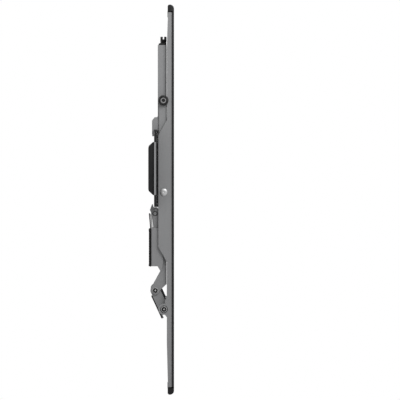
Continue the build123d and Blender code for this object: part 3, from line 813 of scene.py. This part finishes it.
# %% Turn the pivot rivets
CROWN_FOOT = 15.4
CROWN_HIGH = 1.3
CROWN_RADIUS = 4.2
CROWN_TOP = 3.2
bend = np.linspace(0, np.pi / 2, 8)
crown = np.stack([CROWN_FOOT + CROWN_HIGH * np.sin(bend),
                  CROWN_RADIUS - CROWN_TOP * (1 - np.cos(bend))], 1)
rivet = np.vstack([[(10.4, 0), (10.4, 3), (12.25, 3), (12.25, 4.9), (13.35, 4.9), (13.35, 3),
                    (15.1, 3), (15.1, 4.1)], crown, [(16.55, 0.6), (16.5, 0)]])
for hand in HANDS:
    rivets = on_pivot(hand, TILT_MID, both_sides(rivet), 48)
    piece(f"{hand}_pivot_rivets_turned", rivets, f"{hand}_pivot_rivets")
print("rivet heads reach", CROWN_FOOT + CROWN_HIGH, "mm from the upright's middle")

# %% [markdown]
# ## Link and ear bolts
# The toggle link's two pivots are small black heads with a bright riveted centre, on bright and
# dark washers. One mesh could carry both finishes, but a slot belongs to a whole piece. So heads
# and dark washers make one piece, and the shank and bright washers another.

# %% Turn the link and ear bolts
SMALL_BOLTS = {  # name: pivot, the steel's face, bright washer, dark washers (radius, low, high); the bright zinc washers also stand in for the highlight on the hub: a painted highlight
    "link_bolt": (LINK_PIVOT, 10.0, (3.2, 0, 0.3), ()),
    "ear_bolt": (EAR_PIVOT, 15.0, (3.4, 0.3, 0.6), ((4.2, 0, 0.3), (3.1, -6.6, -1.5))),
}


def washer_pair(face, radius, low, high):
    """Loops of a bolt's two washers, from low to high beyond the steel's face."""
    return both_sides(ring_loop(radius, 1.72, face + low, face + high, 0.12))


def riveted_shank(face):
    """Profile of half a shank that narrows to the bright riveted centre of the head."""
    return [(0, 0), (0, 1.7), (face + 0.2, 1.7), (face + 0.6, 0.88), (face + 1.3, 0.88),
            (face + 1.45, 0.6), (face + 1.5, 0)]


for hand in HANDS:
    for part, (pivot, face, bright, dark) in SMALL_BOLTS.items():
        loops = [*both_sides(ring_loop(2.75, 0.9, face + bright[-1], face + 1.6, 0.4))]
        loops += [loop for size in dark for loop in washer_pair(face, *size)]
        heads = on_pivot(hand, pivot, loops, 36, closed=True)
        piece(f"{hand}_{part}_heads", heads, f"{hand}_{part}")
        shank = on_pivot(hand, pivot, both_sides(riveted_shank(face)), 36)
        shank += on_pivot(hand, pivot, washer_pair(face, *bright), 36, closed=True)
        piece(f"{hand}_{part}_shank", shank, f"{hand}_{part}", slot="zinc")
print("link and ear bolts:", 2 * len(SMALL_BOLTS) * len(HANDS), "pieces")

# %% [markdown]
# ## Cheeks of the catch
# The catch turns between two small cheeks that stand up from the lower housing. Each is a thin
# plate with rounded corners, just outside the catch, and carries one end of its pin under a black
# washer. A filled curve with a thickness would do, but its corners would all share one radius.

# %% Add the cheeks and the pin's washers
CHEEK_IN = 9.25
CHEEK_OUT = 10.2
cheek_outline = fillets([(8.0, -44.6), (11.3, -44.6), (12.2, -48), (12.2, -67.6), (6.9, -67.6),
                         (5.2, -53), (5.3, -47.6)], (1.2, 1, 0.8, 0.3, 0.3, 1.6, 1.6), 5)
pin_face = CHEEK_OUT + 0.02
pin_washers = both_sides(ring_loop(2.8, 2.05, pin_face, pin_face + 0.5, 0.15))
for hand in HANDS:
    piece(f"{hand}_latch_pin_washers", on_pivot(hand, CATCH_PIVOT, pin_washers, 36, closed=True),
          f"{hand}_latch_bracket", slot="black_steel", replaced=())
    cheeks = [skin(across(carried(cheek_outline, *span, 0.2, 3), UPRIGHT_X[hand]))
              for span in ((CHEEK_IN, CHEEK_OUT), (-CHEEK_OUT, -CHEEK_IN))]
    piece(f"{hand}_latch_cheeks", cheeks, f"{hand}_latch_bracket", replaced=())
print("each cheek is", round(CHEEK_OUT - CHEEK_IN, 2), "mm thick")

# %% [markdown]
# ## The tension screw
# A long screw presses a nylon shoe down on the tilt bolt, so that the screen stays at any angle.
# Its thread is a helix: the radius falls with the distance to the nearest crest, and the crest's
# height moves on by one pitch each turn. The knob has fine flutes and a coin slot between two half
# discs.

# %% Cut the thread and flute the knob
PITCH = 0.8
SCREW_DEPTH = 17.2
shoe_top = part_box("left_brake_shoe")[1].z / MM
cap_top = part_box("left_channel_cap")[1].z / MM
screw_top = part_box("left_tension_screw")[1].z / MM
thread_low = shoe_top - 5.7
thread_high = cap_top + 0.3
KNOB_LOW = screw_top - 5.5
LOBE_RADIUS = 3.5
FLUTES = 24
FLUTE_DIP = 0.03


def thread(low, high, radius, cut, sides=24):
    """radius - cut * |2 frac((along / pitch) - turn / 2 pi) - 1|, for each ring and each turn."""
    along = np.arange(low, high, PITCH / 6)

    def wave(place, turn):
        phase = np.mod(place / PITCH - turn / (2 * np.pi), 1)
        return 1 - cut / radius * np.abs(2 * phase - 1)

    return turned(np.stack([along, np.full_like(along, radius)], 1), sides, wave)


def fluted(along, turn):
    """Flutes round a knob: the radius dips by a small share at each flute, as a cosine wave."""
    return 1 - FLUTE_DIP * (0.5 + 0.5 * np.cos(FLUTES * turn))


arc = np.radians(np.linspace(12, 168, 28))
half_disc = np.stack([LOBE_RADIUS * np.cos(arc), LOBE_RADIUS * np.sin(arc)], 1)
lobe = carried(half_disc, KNOB_LOW + 2.4, screw_top, 0.6, 5)
screw_parts = [
    thread(thread_low, thread_high, radius=1.88, cut=0.32),
    turned(disc(2.7, cap_top + 0.2, KNOB_LOW + 0.2, 0.3)),
    turned(disc(3.58, KNOB_LOW, KNOB_LOW + 2.6, 0.3), 144, fluted),
    lobe, lobe * (1, 1, -1),
]
for hand in HANDS:
    skins = [skin(upright(rings, UPRIGHT_X[hand], SCREW_DEPTH)) for rings in screw_parts]
    piece(f"{hand}_tension_screw_turned", skins, f"{hand}_tension_screw")
print("thread from", round(thread_low, 1), "to", round(thread_high, 1), "mm")

# %% [markdown]
# ## Wall pads, catch springs and link guards
# The foot of each hanger rests on the wall through a ribbed rubber pad with a tongue. Behind the
# catch lies a bent spring strip, and thin moulded guards cover the edges of the toggle link. All
# are outlines seen from the side and carried across the width; the pad's back is a cosine wave.

# %% Carry the pads, springs and guards
RIB = 2.85
RIB_HIGH = 0.17
PAD_BACK = 0.85
PAD_MIDDLE = -89
pad_height = np.linspace(-107.2, -70.8, 90)
pad_wave = PAD_BACK + RIB_HIGH * np.cos(2 * np.pi * (pad_height - PAD_MIDDLE) / RIB)
pad_outline = np.vstack([
    fillets([(0.5, -109.8), (3.2, -110.5), (3.2, -67.5), (0.5, -68.2)], (0.3, 0.3, 0.3, 0.3), 4),
    [(0.55, -69.6)], np.stack([pad_wave, pad_height], 1)[::-1], [(0.55, -108.4)]])
tongue_outline = fillets([(0.7, -50.5), (1.6, -50.5), (3.1, -67.6), (2.2, -67.6)], 0.35, 4)
spring_outline = fillets([(2.2, -51), (3.3, -51), (4.8, -67), (3.7, -67)], 0.4, 4)

link_run = np.subtract(EAR_PIVOT, LINK_PIVOT)
link_length = float(np.linalg.norm(link_run))
along_link = link_run / link_length
over_link = np.array((-along_link[1], along_link[0]))


def on_link(points):
    """Points (along, across) of the link, as (depth, height)."""
    points = np.array(points, float)
    return LINK_PIVOT + points[:, :1] * along_link + points[:, 1:] * over_link


GUARD_TAIL = link_length + 8.5
GUARD_IN = 5.5
GUARD_OUT = 6.9
rear_guard = [(3.5, -GUARD_IN), (GUARD_TAIL, -GUARD_IN), (GUARD_TAIL, -GUARD_OUT),
              (3.5, -GUARD_OUT)]
front_guard = [(1.2, GUARD_IN), (14.5, GUARD_IN), (14.5, GUARD_OUT), (1.2, GUARD_OUT)]
guards = [carried(fillets(on_link(edge), 0.5, 4), -8, 8, 0.4, 4)
          for edge in (rear_guard, front_guard)]
pad_parts = [carried(pad_outline, -12, 12, 0.3, 3), carried(tongue_outline, -7, 7, 0.3, 3)]
PROFILED = {  # new piece: the CAD part that it stands for, and its rings
    "wall_pad_ribbed": ("wall_pad", pad_parts),
    "latch_spring_strip": ("latch_spring", [carried(spring_outline, -6, 6, 0.3, 3)]),
    "link_guards_moulded": ("link_guards", guards),
}
for hand in HANDS:
    for made, (part, parts) in PROFILED.items():
        skins = [skin(across(rings, UPRIGHT_X[hand])) for rings in parts]
        piece(f"{hand}_{made}", skins, f"{hand}_{part}")
print("link is", round(link_length, 2), "mm long")

# %% [markdown]
# ## Weld beads
# The hook is welded to the rail along its upper edge. A bead is a row of overlapping puddles, so
# its radius ripples along its length and closes at both ends.

# %% Lay the beads
BEAD_HALF = 8.6
BEAD_RADIUS = 0.95
PUDDLE = 1.15
RIPPLE = 0.13
hook_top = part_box("left_hook")[1].z / MM
rail_back = -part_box("left_hanger_rail")[1].y / MM
bead_x = np.linspace(-BEAD_HALF, BEAD_HALF, 120)
bead_ends = np.sqrt(np.clip(1 - (bead_x / BEAD_HALF) ** 8, 0, 1))
bead_ripple = 1 - RIPPLE * np.abs(np.sin(np.pi * bead_x / PUDDLE))
bead = turned(np.stack([bead_x, BEAD_RADIUS * bead_ends * bead_ripple], 1), 16)
for hand in HANDS:
    laid = skin(across(bead, UPRIGHT_X[hand], rail_back, hook_top))
    piece(f"{hand}_hook_weld", [laid], f"{hand}_hook", replaced=())
print("beads at height", round(hook_top, 1), "and depth", round(rail_back, 1), "mm")

# %% [markdown]
# ## Glide pads and shadow lips
# A hanger slides along the painted crossbar, so a thin black pad on the rail's back keeps steel off
# steel. Its two lips hold the rail's sides and fill the gap to the upright with black, a painted
# shadow where that recessed gap is in shade. Each part is a flat outline with rounded corners,
# carried through its thickness.

# %% Fit the glide pads
bar_face = -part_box("end_plates")[0].y / MM
bar_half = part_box("head_rail_top")[1].z / MM
upright_back = -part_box("left_strip")[1].y / MM
SHADOW_LIP_IN = 10.04
SHADOW_LIP_OUT = 11.6
SHEET_HALF = 9.9
pad_low = bar_face + 0.15
shadow_lip_high = upright_back - 0.1
sheet_high = rail_back - 0.02


def pad_sheet(left, right, low, high, round_corner):
    """Rounded rectangle as seen from the room, carried from one depth to another."""
    outline = [(left, -bar_half), (right, -bar_half), (right, bar_half), (left, bar_half)]
    return carried(fillets(outline, round_corner, 5), low, high, 0.12, 3)


# The first sheet is the pad. The two lips are black sheets put where the recessed gap beside the
# rail is in shade: a painted shadow.
sheets = [pad_sheet(-SHEET_HALF, SHEET_HALF, pad_low, sheet_high, 1.5),
          pad_sheet(SHADOW_LIP_IN, SHADOW_LIP_OUT, pad_low, shadow_lip_high, 0.5),
          pad_sheet(-SHADOW_LIP_OUT, -SHADOW_LIP_IN, pad_low, shadow_lip_high, 0.5)]
for hand in HANDS:
    piece(f"{hand}_glide_pad_and_shadow_lips", [skin(facing(sheet, UPRIGHT_X[hand])) for sheet in sheets],
          f"{hand}_hanger_rail", slot="black_plastic", replaced=())
print("the pads reach from depth", round(pad_low, 2), "to", round(shadow_lip_high, 2), "mm")

# %% [markdown]
# ## Sizes
# The finished mount has to fill the same box as the CAD model, so its box is printed here, like the
# CAD box at the start.

# %% Print the visual box
low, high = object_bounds()
print("visual box in mm", [round(v / MM, 1) for v in (*low, *high)])
